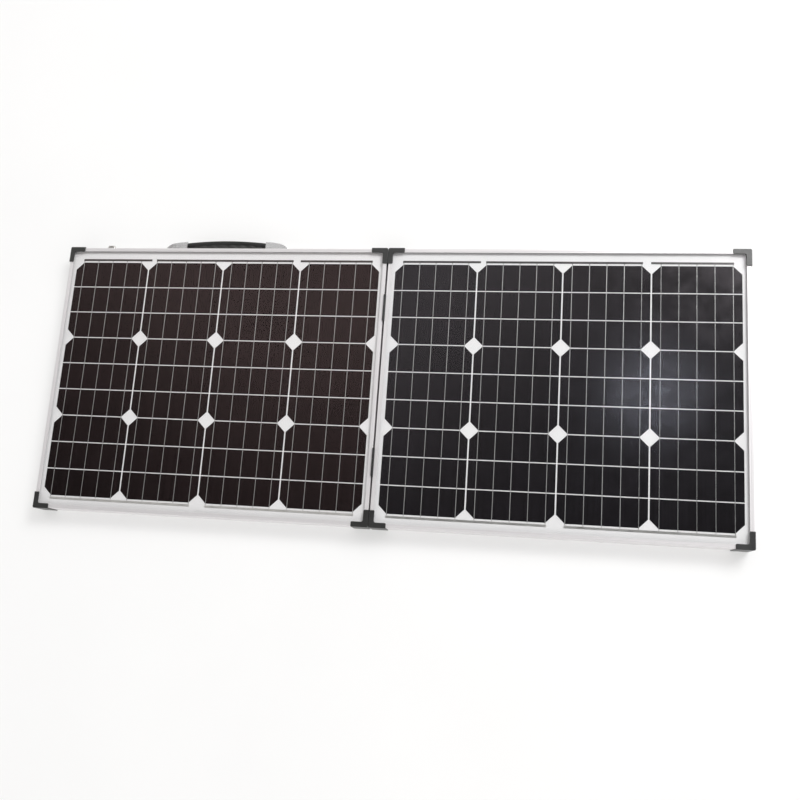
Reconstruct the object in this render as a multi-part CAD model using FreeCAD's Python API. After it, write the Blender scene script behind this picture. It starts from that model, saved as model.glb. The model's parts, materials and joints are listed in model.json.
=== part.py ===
import FreeCAD, Part
import math
import os
from FreeCAD import Vector as V, Rotation, Placement

# Folding two-panel solar suitcase kit, lying open on its back.
# +X along the long side, +Y towards the carrying handle, +Z out of the glass.
# Origin: middle of the overall box, on the surface it lies on. Millimetres.

# ---- driving dimensions ----
WAFER = 156.0          # mono wafer, cut into three strips
CHAMFER = 15.4         # wafer corner chamfer
COL_PITCH = 158.7
N_COL = 4
STRIP_H = 52.0
STRIP_PITCH = 54.0
N_STRIP = 9
SIDE_MARGIN = 14.0
TOP_MARGIN = 30.0
BOTTOM_MARGIN = 26.0
FRAME_D = 35.0
GUARD_T = 1.5
GUARD_LEG = 32.0
GUARD_FACE = 8.3
SEAM_HALF = 1.8
HANDLE_H = 20.0
KNUCKLE_R = 2.2
PIN_R = 1.2
HINGE_L = 52.0
HINGE_Y = 150.0
FOLD_Z = 38.3
LATCH_X = 577.0
STAND_PIVOT = 190.0
STAND_LEN = 380.0

ARR_W = (N_COL - 1) * COL_PITCH + WAFER
ARR_H = (N_STRIP - 1) * STRIP_PITCH + STRIP_H
PW = ARR_W + 2 * SIDE_MARGIN
PH = ARR_H + TOP_MARGIN + BOTTOM_MARGIN
ZB = GUARD_T                       # underside of the frame
ZT = ZB + FRAME_D                  # front of the frame
Y0 = -(HANDLE_H - GUARD_T) / 2.0   # panel centre in Y
YT = Y0 + PH / 2.0
YB = Y0 - PH / 2.0
ARR_TOP = YT - TOP_MARGIN
ARR_BOT = YB + BOTTOM_MARGIN
CX = {"left": -(SEAM_HALF + PW / 2.0), "right": SEAM_HALF + PW / 2.0}

# laminate levels
Z_SHELF = ZB + 28.9
Z_BACK0, Z_BACK1 = Z_SHELF + 0.3, Z_SHELF + 0.8
Z_CELL1 = Z_BACK1 + 0.3
Z_RIB1 = Z_CELL1 + 0.2
Z_GLASS1 = Z_RIB1 + 3.2
Z_LIP = ZB + 33.7
LAM_S = 2.2                        # laminate edge inside the frame's outer face

OUT = {}


def edges_of(points, m):
    """Closed outline through points (a, b[, r]); r rounds that corner."""
    n = len(points)
    segs = []
    for i in range(n):
        p0 = points[i - 1]
        p1 = points[i]
        p2 = points[(i + 1) % n]
        r = p1[2] if len(p1) > 2 else 0.0
        if r <= 0:
            segs.append(((p1[0], p1[1]), None, (p1[0], p1[1])))
            continue
        ax, ay = p0[0] - p1[0], p0[1] - p1[1]
        bx, by = p2[0] - p1[0], p2[1] - p1[1]
        la, lb = math.hypot(ax, ay), math.hypot(bx, by)
        ax, ay, bx, by = ax / la, ay / la, bx / lb, by / lb
        ang = math.acos(max(-1.0, min(1.0, ax * bx + ay * by)))
        t = r / math.tan(ang / 2.0)
        hx, hy = ax + bx, ay + by
        lh = math.hypot(hx, hy)
        d = r / math.sin(ang / 2.0) - r
        segs.append(((p1[0] + ax * t, p1[1] + ay * t),
                     (p1[0] + hx / lh * d, p1[1] + hy / lh * d),
                     (p1[0] + bx * t, p1[1] + by * t)))
    es = []
    for i in range(n):
        a, mid, b = segs[i]
        if mid is not None:
            es.append(Part.Arc(m(*a), m(*mid), m(*b)).toShape())
        nxt = segs[(i + 1) % n][0]
        if math.hypot(nxt[0] - b[0], nxt[1] - b[1]) > 1e-6:
            es.append(Part.makeLine(m(*b), m(*nxt)))
    return es


def prism(points, m, vec, holes=()):
    w = Part.Wire(edges_of(points, m))
    s = Part.Face(w).extrude(vec)
    for h in holes:
        s = s.cut(Part.Face(Part.Wire(edges_of(h, m))).extrude(vec))
    return s


def plan(points, z0, z1, holes=()):
    return prism(points, lambda a, b: V(a, b, z0), V(0, 0, z1 - z0), holes)


def box(x0, x1, y0, y1, z0, z1):
    return Part.makeBox(x1 - x0, y1 - y0, z1 - z0, V(x0, y0, z0))


def rbox(x0, x1, y0, y1, z0, z1, r):
    return plan([(x0, y0, r), (x1, y0, r), (x1, y1, r), (x0, y1, r)], z0, z1)


def cyl(r, p, d, length):
    return Part.makeCylinder(r, length, V(*p), V(*d))


def union(shapes):
    s = shapes[0]
    for t in shapes[1:]:
        s = s.fuse(t)
    return s.removeSplitter()


def soften(s, r, pick):
    """Round the picked edges where that gives a sound solid."""
    es = [e for e in s.Edges if pick(e)]
    try:
        t = s.makeFillet(r, es)
        if t.isValid() and t.Volume > 0:
            return t
    except Exception:
        pass
    return s


def put(name, *shapes):
    solids = []
    for s in shapes:
        solids += s.Solids
    OUT[name] = solids[0] if len(solids) == 1 else Part.makeCompound(solids)


# ---- frame rail: hollow chamber, glass groove, inward rear flange ----
T = 22.0
SECTION = [(0, 0), (T, 0), (T, 1.5), (10.3, 1.5), (10.3, 28.9), (1.5, 28.9), (1.5, 33.7), (7, 33.7),
           (7, 35), (4.5, 35), (4.5, 34.7), (4.0, 34.7), (4.0, 35), (0.6, 35), (0, 34.4)]
CHAMBER = [(1.5, 1.5), (9.0, 1.5), (9.0, 27.6), (1.5, 27.6)]


def rail(length):
    s = prism(SECTION, lambda a, b: V(-length / 2.0, a, b), V(length, 0, 0), [CHAMBER])
    h = length / 2.0
    m = plan([(-h, 0), (h, 0), (h - T - 1, T + 1), (-h + T + 1, T + 1)], -1, 36)
    return s.common(m)


def placed(s, x, y, ang):
    t = s.copy()
    t.Placement = Placement(V(x, y, ZB), Rotation(V(0, 0, 1), ang)).multiply(t.Placement)
    return t


def guard():
    t, f, g = GUARD_T, GUARD_FACE, GUARD_LEG - GUARD_T
    pts = [(-t, -t, 3.0), (g, -t, 0.8), (g, f, 2.0), (f, f, 3.5), (f, g, 2.0), (-t, g, 0.8)]
    s = plan(pts, -t, FRAME_D + t)
    s = soften(s, 0.6, lambda e: (abs(e.BoundBox.ZMin - (FRAME_D + t)) < 1e-6 and abs(e.BoundBox.ZMax - (FRAME_D + t)) < 1e-6))
    return s.cut(box(0, 60, 0, 60, 0, FRAME_D))


def corner_key():
    a, b, c = 1.7, 8.8, 32.0
    return plan([(a, a), (c, a), (c, b), (b, b), (b, c), (a, c)], 1.7, 27.4)


def rivet(p, d, grip=2.6):
    """Countersunk blind rivet: flush head, shank, formed tail."""
    dv = V(*d)
    head = Part.makeCone(2.5, 1.6, 0.9, V(*p), dv)
    shank = Part.makeCylinder(1.6, grip - 0.9, V(*p) + dv * 0.9, dv)
    tail = Part.makeCylinder(2.4, 1.8, V(*p) + dv * grip, dv)
    return union([head, shank, tail])


HOLES = {"left": {}, "right": {}}
RIVETS = {"left": [], "right": []}


def panel(side):
    cx = CX[side]
    x0, x1 = cx - PW / 2.0, cx + PW / 2.0
    inner_x, outer_x = (x1, x0) if side == "left" else (x0, x1)
    r = {}
    r["bottom"] = placed(rail(PW), cx, YB, 0)
    r["top"] = placed(rail(PW), cx, YT, 180)
    r["x0"] = placed(rail(PH), x0, Y0, -90)
    r["x1"] = placed(rail(PH), x1, Y0, 90)
    # rear flange mounting holes
    for yy, key in ((YB + 16, "bottom"), (YT - 16, "top")):
        for dx in (-200, 200):
            r[key] = r[key].cut(cyl(3.25, (cx + dx, yy, ZB - 1), (0, 0, 1), 4))
    # stand pivots through the inner wall of both side rails
    py = Y0 + STAND_PIVOT
    pz = 11.5
    piv = []
    legs = []
    for key, xe, d in (("x0", x0, 1), ("x1", x1, -1)):
        r[key] = r[key].cut(cyl(3.0, (xe + d * 8, py, pz), (d, 0, 0), 4))
        wall0, wall1 = xe + d * 9.0, xe + d * 10.3
        leg0, leg1 = xe + d * 23.4, xe + d * 26.4
        nut = cyl(5.0, (xe + d * 4.5, py, pz), (d, 0, 0), 4.5).cut(cyl(3.0, (xe + d * 4.5, py, pz), (d, 0, 0), 4.5))
        spacer = cyl(5.5, (wall1, py, pz), (d, 0, 0), 12.8).cut(cyl(3.0, (wall1, py, pz), (d, 0, 0), 12.8))
        bolt = union([cyl(3.0, (xe + d * 4.0, py, pz), (d, 0, 0), 22.7), cyl(5.0, (xe + d * 26.7, py, pz), (d, 0, 0), 3.5)])
        bolt = bolt.cut(prism([(py + 2.4 * math.cos(math.radians(60 * k)), pz + 2.4 * math.sin(math.radians(60 * k))) for k in range(6)],
                              lambda a, b: V(xe + d * 30.3, a, b), V(-d * 2.0, 0, 0)))
        piv += [nut, spacer, bolt]
        ye = py - STAND_LEN
        m = lambda a, b, q=min(leg0, leg1): V(q, a, b)
        leg = prism([(ye - 8, pz - 8, 7.9), (py + 8, pz - 8, 7.9), (py + 8, pz + 8, 7.9), (ye - 8, pz + 8, 7.9)], m, V(3.0, 0, 0))
        leg = leg.cut(cyl(3.05, (min(leg0, leg1) - 1, py, pz), (1, 0, 0), 5))
        legs.append(leg)
    put(side + "_stand_pivots", *piv)
    put(side + "_stand_legs", *legs)
    ye = Y0 + STAND_PIVOT - STAND_LEN
    xa, xb = x0 + 26.4, x1 - 26.4
    tube = cyl(7.0, (xa, ye, pz), (1, 0, 0), xb - xa).cut(cyl(5.8, (xa, ye, pz), (1, 0, 0), xb - xa))
    put(side + "_stand_crossbar", tube)

    # hinge leaf rivets
    sgn = -1 if side == "left" else 1
    ikey = "x1" if side == "left" else "x0"
    for hy in (-HINGE_Y, HINGE_Y):
        for dy in (-18, 18):
            for z in (17.0, 26.5):
                p = (sgn * 0.7, Y0 + hy + dy, z)
                rv = rivet(p, (sgn, 0, 0))
                RIVETS[side].append(rv)
                r[ikey] = r[ikey].cut(cyl(1.6, (sgn * 1.7, Y0 + hy + dy, z), (sgn, 0, 0), 2.0))
    HOLES[side] = r

    keys, guards = [], []
    for (px, py2, ang) in ((x0, YB, 0), (x1, YB, 90), (x1, YT, 180), (x0, YT, 270)):
        keys.append(placed(corner_key(), px, py2, ang))
        guards.append(placed(guard(), px, py2, ang))
    put(side + "_corner_keys", *keys)
    put(side + "_corner_guards", *guards)

    # laminate
    gx0, gx1, gy0, gy1 = x0 + LAM_S, x1 - LAM_S, YB + LAM_S, YT - LAM_S
    put(side + "_glass", box(gx0, gx1, gy0, gy1, Z_RIB1, Z_GLASS1))
    put(side + "_backsheet", box(gx0, gx1, gy0, gy1, Z_BACK0, Z_BACK1))
    seal = box(x0 + 1.5, x1 - 1.5, YB + 1.5, YT - 1.5, Z_SHELF, Z_LIP)
    seal = seal.cut(box(x0 + 6.8, x1 - 6.8, YB + 6.8, YT - 6.8, Z_SHELF - 1, Z_LIP + 1))
    seal = seal.cut(box(gx0, gx1, gy0, gy1, Z_BACK0, Z_GLASS1))
    put(side + "_edge_seal", seal)
    ax0 = cx - ARR_W / 2.0
    cells = []
    for c in range(N_COL):
        for k in range(N_STRIP):
            a0 = ax0 + c * COL_PITCH
            a1 = a0 + WAFER
            b1 = ARR_TOP - k * STRIP_PITCH
            b0 = b1 - STRIP_H
            h = CHAMFER
            if k % 3 == 0:
                pts = [(a0, b0), (a1, b0), (a1, b1 - h), (a1 - h, b1), (a0 + h, b1), (a0, b1 - h)]
            elif k % 3 == 2:
                pts = [(a0 + h, b0), (a1 - h, b0), (a1, b0 + h), (a1, b1), (a0, b1), (a0, b0 + h)]
            else:
                pts = [(a0, b0), (a1, b0), (a1, b1), (a0, b1)]
            cells.append(plan(pts, Z_BACK1, Z_CELL1))
    put(side + "_solar_cells", *cells)
    rib = []
    yb_top, yb_bot = ARR_TOP + 5.6, ARR_BOT - 5.4
    for c in range(N_COL):
        for k in range(5):
            x = ax0 + c * COL_PITCH + WAFER * (0.1 + 0.2 * k)
            rib.append(box(x - 0.55, x + 0.55, yb_bot + 2.0, yb_top - 2.0, Z_CELL1, Z_RIB1))
    for a, b, y in ((14.0, 163.0, yb_top), (173.0, 459.5, yb_top), (474.0, 618.0, yb_top), (14.0, 300.6, yb_bot), (331.5, 618.0, yb_bot)):
        rib.append(box(ax0 + a, ax0 + b, y - 2.0, y + 2.0, Z_CELL1, Z_RIB1))
    put(side + "_ribbons", *rib)

    # junction box on the backsheet, lid facing down
    jy, zt = Y0 + 205.0, Z_BACK0
    jb = rbox(cx - 47.5, cx + 47.5, jy - 35, jy + 35, zt - 18, zt, 5)
    jb = jb.cut(rbox(cx - 45.3, cx + 45.3, jy - 32.8, jy + 32.8, zt - 19, zt - 2, 3))
    glands, dio = [], []
    for dx in (-25, 25):
        jb = jb.cut(cyl(4.0, (cx + dx, jy - 36, zt - 10), (0, 1, 0), 4))
        gl = union([cyl(4.0, (cx + dx, jy - 35, zt - 10), (0, 1, 0), 3.2), cyl(6.0, (cx + dx, jy - 45, zt - 10), (0, 1, 0), 10)])
        gl = gl.cut(cyl(2.8, (cx + dx, jy - 46, zt - 10), (0, 1, 0), 16))
        glands.append(gl)
        dio.append(union([box(cx + dx - 5, cx + dx + 5, jy + 2, jy + 10, zt - 6.5, zt - 2), box(cx + dx - 3, cx + dx + 3, jy - 8, jy + 2, zt - 3, zt - 2)]))
    put(side + "_junction_box", jb)
    lid = rbox(cx - 47.5, cx + 47.5, jy - 35, jy + 35, zt - 20, zt - 18, 5)
    lid = soften(lid, 0.8, lambda e: abs(e.BoundBox.ZMax - (zt - 20)) < 1e-6)
    put(side + "_junction_lid", lid)
    put(side + "_bypass_diodes", *dio)
    put(side + "_cable_glands", *glands)


for s_ in ("left", "right"):
    panel(s_)

# ---- hinges between the two panels ----
leaves = {"left": [], "right": []}
pins = []
n_kn, gap = 5, 0.3
seg = HINGE_L / n_kn
for hy in (-HINGE_Y, HINGE_Y):
    yc = Y0 + hy
    ya = yc - HINGE_L / 2.0
    for side in ("left", "right"):
        sg = -1 if side == "left" else 1
        xa, xb = sorted((sg * 0.7, sg * 1.8))
        leaf = box(xa, xb, ya, ya + HINGE_L, 12.0, FOLD_Z)
        kn = []
        for k in range(n_kn):
            mine = (k % 2 == 0) == (side == "left")
            y0 = ya + k * seg
            if mine:
                kn.append(cyl(KNUCKLE_R, (0, y0 + gap / 2, FOLD_Z), (0, 1, 0), seg - gap))
            else:
                leaf = leaf.cut(box(-5, 5, y0 - gap / 2, y0 + seg + gap / 2, 35.5, 50))
        lo = leaf.cut(box(-5, 5, ya - 1, ya + gap / 2, 35.5, 50)).cut(box(-5, 5, ya + HINGE_L - gap / 2, ya + HINGE_L + 1, 35.5, 50))
        body = union([lo] + kn).cut(cyl(PIN_R + 0.05, (0, ya - 2, FOLD_Z), (0, 1, 0), HINGE_L + 4))
        for dy in (-18, 18):
            for z in (17.0, 26.5):
                body = body.cut(Part.makeCone(2.5, 1.6, 0.9, V(sg * 0.7, yc + dy, z), V(sg, 0, 0)))
                body = body.cut(cyl(1.6, (sg * 0.7, yc + dy, z), (sg, 0, 0), 2.0))
        leaves[side].append(body)
    pins.append(cyl(PIN_R, (0, ya + 0.2, FOLD_Z), (0, 1, 0), HINGE_L - 0.4))
put("left_hinge_leaves", *leaves["left"])
put("right_hinge_leaves", *leaves["right"])
put("hinge_pins", *pins)

# ---- strap handle on the left panel's top rail ----
hx = CX["left"]
HZ = 19.0
caps, screws = [], []
for sg in (-1, 1):
    def m2(a, b, q=7.5):
        return V(hx + sg * a, YT + b, q)
    e = [Part.makeLine(m2(82.5, 0), m2(127.5, 0)),
         Part.makeLine(m2(127.5, 0), m2(127.5, 3.0)),
         Part.BSplineCurve([m2(127.5, 3.0), m2(125.6, 6.6), m2(119.0, 11.0), m2(110.0, 14.0), m2(98.0, 16.3), m2(82.5, 17.2)]).toShape(),
         Part.makeLine(m2(82.5, 17.2), m2(82.5, 0))]
    cap = Part.Face(Part.Wire(e)).extrude(V(0, 0, 23.0))
    zc = 7.5
    # taper the outer end in width too
    side_cut = prism([(82.0, -12.0), (104.0, -12.0, 18), (128.0, -8.5, 2), (128.0, 8.5, 2), (104.0, 12.0, 18), (82.0, 12.0)],
                     lambda a, b: V(hx + sg * a, YT - 1, HZ + b), V(0, 20, 0))
    cap = cap.common(side_cut)
    cap = soften(cap, 1.6, lambda e: e.BoundBox.YMin > YT + 2.0 and e.BoundBox.XLength > 20 )
    cap = cap.cut(box(*sorted((hx + sg * 82.0, hx + sg * 104.0)), YT + 10.2, YT + 11.8, HZ - 8.6, HZ + 8.6))
    for dz in (-6.0, 6.0):
        px = hx + sg * 113.0
        cap = cap.cut(cyl(2.0, (px, YT - 1, HZ + dz), (0, 1, 0), 30)).cut(cyl(4.0, (px, YT + 4, HZ + dz), (0, 1, 0), 30))
        sc = union([cyl(2.0, (px, YT - 9, HZ + dz), (0, 1, 0), 13.5), cyl(3.8, (px, YT + 4, HZ + dz), (0, 1, 0), 2.4)])
        for ang in (0, 90):
            slot = box(-2.2, 2.2, 1.2, 3.0, -0.5, 0.5)
            slot.Placement = Placement(V(px, YT + 4, HZ + dz), Rotation(V(0, 1, 0), ang + 20))
            sc = sc.cut(slot)
        screws.append(sc)
        HOLES["left"]["top"] = HOLES["left"]["top"].cut(cyl(2.0, (px, YT - 5, HZ + dz), (0, 1, 0), 6))
    caps.append(cap)
put("handle_end_caps", *caps)
put("handle_screws", *screws)


def arc_band(x_end, lo_end, lo_mid, hi_end, hi_mid, z0, z1, tail=None):
    """Arched band between two arcs, with optional straight tails."""
    P = lambda a, b: V(hx + a, YT + b, z0)
    es = [Part.Arc(P(-x_end, lo_end), P(0, lo_mid), P(x_end, lo_end)).toShape()]
    if tail:
        es += [Part.makeLine(P(x_end, lo_end), P(tail, lo_end)), Part.makeLine(P(tail, lo_end), P(tail, hi_end)),
               Part.makeLine(P(tail, hi_end), P(x_end, hi_end))]
    else:
        es += [Part.makeLine(P(x_end, lo_end), P(x_end, hi_end))]
    es += [Part.Arc(P(x_end, hi_end), P(0, hi_mid), P(-x_end, hi_end)).toShape()]
    if tail:
        es += [Part.makeLine(P(-x_end, hi_end), P(-tail, hi_end)), Part.makeLine(P(-tail, hi_end), P(-tail, lo_end)),
               Part.makeLine(P(-tail, lo_end), P(-x_end, lo_end))]
    else:
        es += [Part.makeLine(P(-x_end, hi_end), P(-x_end, lo_end))]
    return Part.Face(Part.Wire(es)).extrude(V(0, 0, z1 - z0))


grip = arc_band(82.0, 6.5, 10.5, 15.2, HANDLE_H, HZ - 10.6, HZ + 10.6)
grip = soften(grip, 3.0, lambda e: e.BoundBox.XLength > 100)
tunnel = arc_band(82.0, 10.5, 14.5, 11.5, 15.5, HZ - 8.2, HZ + 8.2, tail=100.0)
grip = grip.cut(tunnel)
put("handle_grip", grip)
put("handle_steel_strip", arc_band(82.0, 10.5, 14.5, 11.5, 15.5, HZ - 8.0, HZ + 8.0, tail=100.0))

# ---- draw latch: base, lever and loop on the left panel, hook on the right ----
AV, AZ, BV, BZ = 4.6, 31.0, 4.0, 26.8


def lat(u, v, sx):
    return V(sx + u, YT + v, 0)


lx = -LATCH_X
base = rbox(-8, 8, 6.0, 35.5, 0, 1.2, 1.5)        # drawn in u, z then stood up
base.Placement = Placement(V(lx, YT + 1.2, 0), Rotation(V(1, 0, 0), 90))
ears = []
for sg in (-1, 1):
    u0, u1 = sorted((sg * 5.3, sg * 6.5))
    ears.append(box(lx + u0, lx + u1, YT + 1.0, YT + AV, AZ - 2.8, AZ + 2.8))
    ears.append(cyl(2.8, (lx + u0, YT + AV, AZ), (1, 0, 0), 1.2))
base = union([base] + ears).cut(cyl(1.2, (lx - 10, YT + AV, AZ), (1, 0, 0), 20))
for z in (10.5, 18.0):
    base = base.cut(cyl(1.6, (lx, YT - 1, z), (0, 1, 0), 4))
    HOLES["left"]["top"] = HOLES["left"]["top"].cut(cyl(1.6, (lx, YT - 3, z), (0, 1, 0), 4))
    RIVETS["left"].append(union([cyl(1.6, (lx, YT - 1.5, z), (0, 1, 0), 2.9), cyl(2.6, (lx, YT + 1.2, z), (0, 1, 0), 0.8),
                                 cyl(2.4, (lx, YT - 3.3, z), (0, 1, 0), 1.8)]))
put("latch_base", base)
put("latch_pivot_pin", cyl(1.2, (lx - 6.6, YT + AV, AZ), (1, 0, 0), 13.2))
lever = union([
    prism([(5.0, 8.2), (5.0, 33.6), (6.3, 33.6), (6.3, 8.6), (8.0, 7.6), (8.0, 6.9), (6.6, 7.0)], lambda a, b: V(lx - 5, YT + a, b), V(10, 0, 0)),
    prism([(2.4, 24.4, 1.5), (5.2, 18.0), (5.2, 33.6), (2.4, 33.6, 1.5)], lambda a, b: V(lx - 5, YT + a, b), V(1.2, 0, 0)),
    prism([(2.4, 24.4, 1.5), (5.2, 18.0), (5.2, 33.6), (2.4, 33.6, 1.5)], lambda a, b: V(lx + 3.8, YT + a, b), V(1.2, 0, 0))])
lever = lever.cut(cyl(1.25, (lx - 10, YT + AV, AZ), (1, 0, 0), 20)).cut(cyl(0.85, (lx - 10, YT + BV, BZ), (1, 0, 0), 20))
put("latch_lever", lever)
wr, uw, ll = 0.8, 7.9, 21.5
loop = union([cyl(wr, (lx - uw, YT + BV, BZ), (1, 0, 0), 2 * uw), cyl(wr, (lx - uw, YT + BV, BZ - ll), (1, 0, 0), 2 * uw),
              cyl(wr, (lx - uw, YT + BV, BZ - ll), (0, 0, 1), ll), cyl(wr, (lx + uw, YT + BV, BZ - ll), (0, 0, 1), ll)]
             + [Part.makeSphere(wr, V(lx + a * uw, YT + BV, b)) for a in (-1, 1) for b in (BZ, BZ - ll)])
put("latch_loop", loop)
rx = LATCH_X
hook = union([
    prism([(0, 10.0), (1.2, 10.0), (1.2, 29.6), (5.8, 29.6), (5.8, 26.2), (7.0, 26.2), (7.0, 31.0), (1.2, 31.0), (1.2, 33.5), (0, 33.5)],
          lambda a, b: V(rx - 5.5, YT + a, b), V(11, 0, 0)),
    prism([(-8, 10.0, 2.0), (8, 10.0, 2.0), (8, 25.0, 2.0), (-8, 25.0, 2.0)], lambda a, b: V(rx + a, YT, b), V(0, 1.2, 0))])
for z in (14.0, 21.0):
    hook = hook.cut(cyl(1.6, (rx, YT - 1, z), (0, 1, 0), 4))
    HOLES["right"]["top"] = HOLES["right"]["top"].cut(cyl(1.6, (rx, YT - 3, z), (0, 1, 0), 4))
    RIVETS["right"].append(union([cyl(1.6, (rx, YT - 1.5, z), (0, 1, 0), 2.9), cyl(2.6, (rx, YT + 1.2, z), (0, 1, 0), 0.8),
                                  cyl(2.4, (rx, YT - 3.3, z), (0, 1, 0), 1.8)]))
put("latch_catch", hook)

# ---- charge controller behind the left panel, screen facing away from the glass ----
kx, ky, zt = CX["left"] + 120.0, Y0 - 30.0, Z_BACK0
put("controller_bracket", rbox(kx - 88, kx + 88, ky - 34, ky + 34, zt - 1.5, zt, 4))
z1 = zt - 1.5
hs = union([rbox(kx - 70, kx + 70, ky - 36, ky + 36, z1 - 22.0, z1, 4), rbox(kx - 84, kx + 84, ky - 20, ky + 20, z1 - 3, z1, 4)])
hs = hs.cut(rbox(kx - 68, kx + 68, ky - 34, ky + 34, z1 - 23, z1 - 2, 2))
cs = []
for dx in (-77, 77):
    for dy in (-13, 13):
        hs = hs.cut(cyl(2.0, (kx + dx, ky + dy, z1 - 4), (0, 0, 1), 5))
        OUT["controller_bracket"] = OUT["controller_bracket"].cut(cyl(2.0, (kx + dx, ky + dy, z1 - 1), (0, 0, 1), 4))
        sc = union([cyl(2.0, (kx + dx, ky + dy, z1 - 3), (0, 0, 1), 4.3), cyl(3.6, (kx + dx, ky + dy, z1 - 5.2), (0, 0, 1), 2.2)])
        sc = sc.cut(box(kx + dx - 2.4, kx + dx + 2.4, ky + dy - 0.5, ky + dy + 0.5, z1 - 6, z1 - 4.2))
        sc = sc.cut(box(kx + dx - 0.5, kx + dx + 0.5, ky + dy - 2.4, ky + dy + 2.4, z1 - 6, z1 - 4.2))
        cs.append(sc)
put("controller_screws", *cs)
put("controller_housing", hs)
zc0, zc1 = z1 - 24.0, z1 - 22.0
cover = rbox(kx - 70, kx + 70, ky - 36, ky + 36, zc0, zc1, 4)
cover = soften(cover, 0.9, lambda e: abs(e.BoundBox.ZMax - zc0) < 1e-6)
cover = cover.cut(box(kx - 26, kx + 26, ky - 6, ky + 24, zc0 - 1, zc1 + 1))
put("controller_window", box(kx - 26, kx + 26, ky - 6, ky + 24, zc0 + 0.3, zc1))
bxs = {"controller_button_left": -14.0, "controller_button_right": 14.0}
for nm, dx in bxs.items():
    cover = cover.cut(cyl(4.3, (kx + dx, ky - 20, zc0 - 1), (0, 0, 1), 4))
    b = union([cyl(4.0, (kx + dx, ky - 20, zc0 - 0.9), (0, 0, 1), 3.2), cyl(5.2, (kx + dx, ky - 20, zc1 + 0.3), (0, 0, 1), 0.8)])
    put(nm, b)
put("controller_cover", cover)
pcb = [box(kx - 64, kx + 64, ky - 32, ky + 30, zc1 + 7.0, zc1 + 8.6),
       box(kx - 28, kx + 28, ky - 8, ky + 26, zc1 + 1.0, zc1 + 7.0)]
for dx in bxs.values():
    pcb.append(box(kx + dx - 3, kx + dx + 3, ky - 23, ky - 17, zc1 + 3.4, zc1 + 7.0))
put("controller_circuit_board", union(pcb))
tb = box(kx - 48, kx + 48, ky - 50, ky - 36, z1 - 17, z1 - 2)
for i in range(6):
    tx = kx - 40 + i * 16
    tb = tb.cut(box(tx - 1.8, tx + 1.8, ky - 51, ky - 41, z1 - 12, z1 - 8.4))
    tb = tb.cut(cyl(1.9, (tx, ky - 44, z1 - 18), (0, 0, 1), 3))
put("controller_terminals", tb)

# ---- rails and rivets, once every hole is drilled ----
for side in ("left", "right"):
    r = HOLES[side]
    put(side + "_bottom_rail", r["bottom"])
    put(side + "_top_rail", r["top"])
    put(side + ("_outer_rail" if side == "left" else "_inner_rail"), r["x0"])
    put(side + ("_inner_rail" if side == "left" else "_outer_rail"), r["x1"])
    put(side + "_rivets", *RIVETS[side])

os.makedirs("parts", exist_ok=True)
for name, shape in OUT.items():
    if not shape.isValid():
        print("not valid:", name)
    shape.exportStep("parts/" + name + ".step")
print(len(OUT), "nodes,", sum(len(s.Solids) for s in OUT.values()), "solids")
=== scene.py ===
import json
import math
import bmesh
import bpy
import numpy as np
from mathutils import Matrix, Vector

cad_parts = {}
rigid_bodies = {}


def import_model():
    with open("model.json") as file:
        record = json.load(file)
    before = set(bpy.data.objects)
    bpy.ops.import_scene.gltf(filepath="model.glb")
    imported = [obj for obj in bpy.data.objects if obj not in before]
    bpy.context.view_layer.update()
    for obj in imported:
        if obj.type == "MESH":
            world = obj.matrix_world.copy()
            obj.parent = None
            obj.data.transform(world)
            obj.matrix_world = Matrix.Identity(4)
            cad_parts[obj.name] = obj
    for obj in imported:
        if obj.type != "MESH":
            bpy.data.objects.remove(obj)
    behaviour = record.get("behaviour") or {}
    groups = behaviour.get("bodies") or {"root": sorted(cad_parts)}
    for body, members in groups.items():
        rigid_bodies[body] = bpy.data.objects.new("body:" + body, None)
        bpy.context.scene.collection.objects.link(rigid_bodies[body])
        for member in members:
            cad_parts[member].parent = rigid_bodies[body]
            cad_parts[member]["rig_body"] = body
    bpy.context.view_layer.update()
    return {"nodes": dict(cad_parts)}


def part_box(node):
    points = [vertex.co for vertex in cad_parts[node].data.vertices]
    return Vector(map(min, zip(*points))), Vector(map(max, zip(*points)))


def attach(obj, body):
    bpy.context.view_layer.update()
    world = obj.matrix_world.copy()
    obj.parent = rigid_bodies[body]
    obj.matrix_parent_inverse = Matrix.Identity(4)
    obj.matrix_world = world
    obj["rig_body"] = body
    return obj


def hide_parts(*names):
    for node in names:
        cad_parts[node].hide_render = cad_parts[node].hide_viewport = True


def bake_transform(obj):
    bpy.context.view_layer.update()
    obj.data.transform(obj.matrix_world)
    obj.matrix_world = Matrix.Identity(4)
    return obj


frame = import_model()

NODES = frame["nodes"]
MM = 0.001
SCENE = bpy.context.scene

# ------------------------------------------------------------------ camera
cam_data = bpy.data.cameras.new("camera")
cam = bpy.data.objects.new("camera", cam_data)
SCENE.collection.objects.link(cam)
cam_data.sensor_width = 36.0
cam_data.lens = 36.80354
cam_data.shift_x = 0.0375
cam_data.shift_y = 0.0625
cam_data.clip_start = 0.01
rows = ((0.9855237, -0.0432855, 0.1639187), (0.073564, 0.9802767, -0.1834282), (-0.1527459, 0.1928313, 0.9692702))
cam.matrix_world = Matrix.Translation((0.241387, -0.414905, 1.503352)) @ Matrix(rows).to_4x4()
SCENE.camera = cam
SCENE.view_settings.view_transform = "Standard"


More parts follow.
